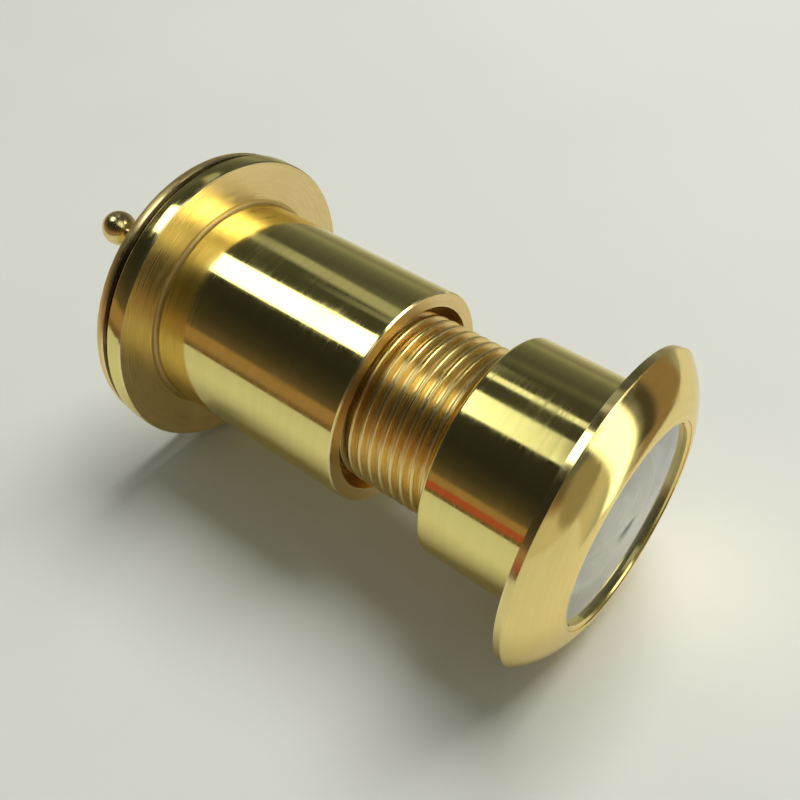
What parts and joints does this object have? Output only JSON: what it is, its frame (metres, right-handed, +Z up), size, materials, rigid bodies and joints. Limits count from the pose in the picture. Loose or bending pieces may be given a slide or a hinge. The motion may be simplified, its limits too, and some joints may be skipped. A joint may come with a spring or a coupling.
{
  "type": "door viewer",
  "caption": "Telescopic brass door viewer: lens flange with threaded shank, screw-on inner sleeve with flange, and a swinging round privacy cover with a ball knob.",
  "frame": {"origin": "on the optical axis, in the plane where the outer flange seats on the door", "axes": "+Y along the optical axis into the room, the outer lens faces -Y; +Z up, as the viewer lies on a bench"},
  "size_m": [0.0397, 0.0714, 0.04],
  "materials": {
    "polished_brass_outer": "polished",
    "polished_brass_inner": "polished barrel, brushed flange face",
    "bezel_brass": "turned",
    "ring_brass": "turned",
    "cover_brass": "turned",
    "knob_brass": "polished",
    "rivet_brass": "polished",
    "washer_steel": "satin",
    "spacer_metal": "matt",
    "front_glass": "clear",
    "inner_glass": "clear",
    "eyepiece_glass": "clear"
  },
  "bodies": {
    "outer_half": {"outer_body": "polished_brass_outer", "objective_bezel": "bezel_brass", "objective_lens": "front_glass", "objective_spacer": "spacer_metal", "second_lens": "inner_glass", "lens_spacer": "spacer_metal", "third_lens": "inner_glass"},
    "screw_travel": {"eyepiece_lens": "eyepiece_glass"},
    "inner_half": {"inner_sleeve": "polished_brass_inner", "eyepiece_ring": "ring_brass", "cover_rivet": "rivet_brass", "pivot_washer": "washer_steel", "spring_washer": "washer_steel"},
    "cover": {"privacy_cover": "cover_brass", "cover_knob": "knob_brass"}
  },
  "joints": [
    {"name": "sleeve_slide", "type": "slide", "parent": "outer_half", "child": "screw_travel", "axis": [0, 1, 0], "range_m": [-0.0122, 0.006]},
    {"name": "sleeve_turn", "type": "hinge", "parent": "screw_travel", "child": "inner_half", "pos_m": [0, 0.055, 0], "axis": [0, 1, 0], "range_deg": [-2928, 1440]},
    {"name": "cover_swing", "type": "hinge", "parent": "inner_half", "child": "cover", "pos_m": [0.00895, 0.05775, -0.01327], "axis": [0, 1, 0], "continuous": true}
  ],
  "couplings": [
    {"joint": "sleeve_slide", "follows": "sleeve_turn", "m_per_rad": 0.00023873}
  ]
}
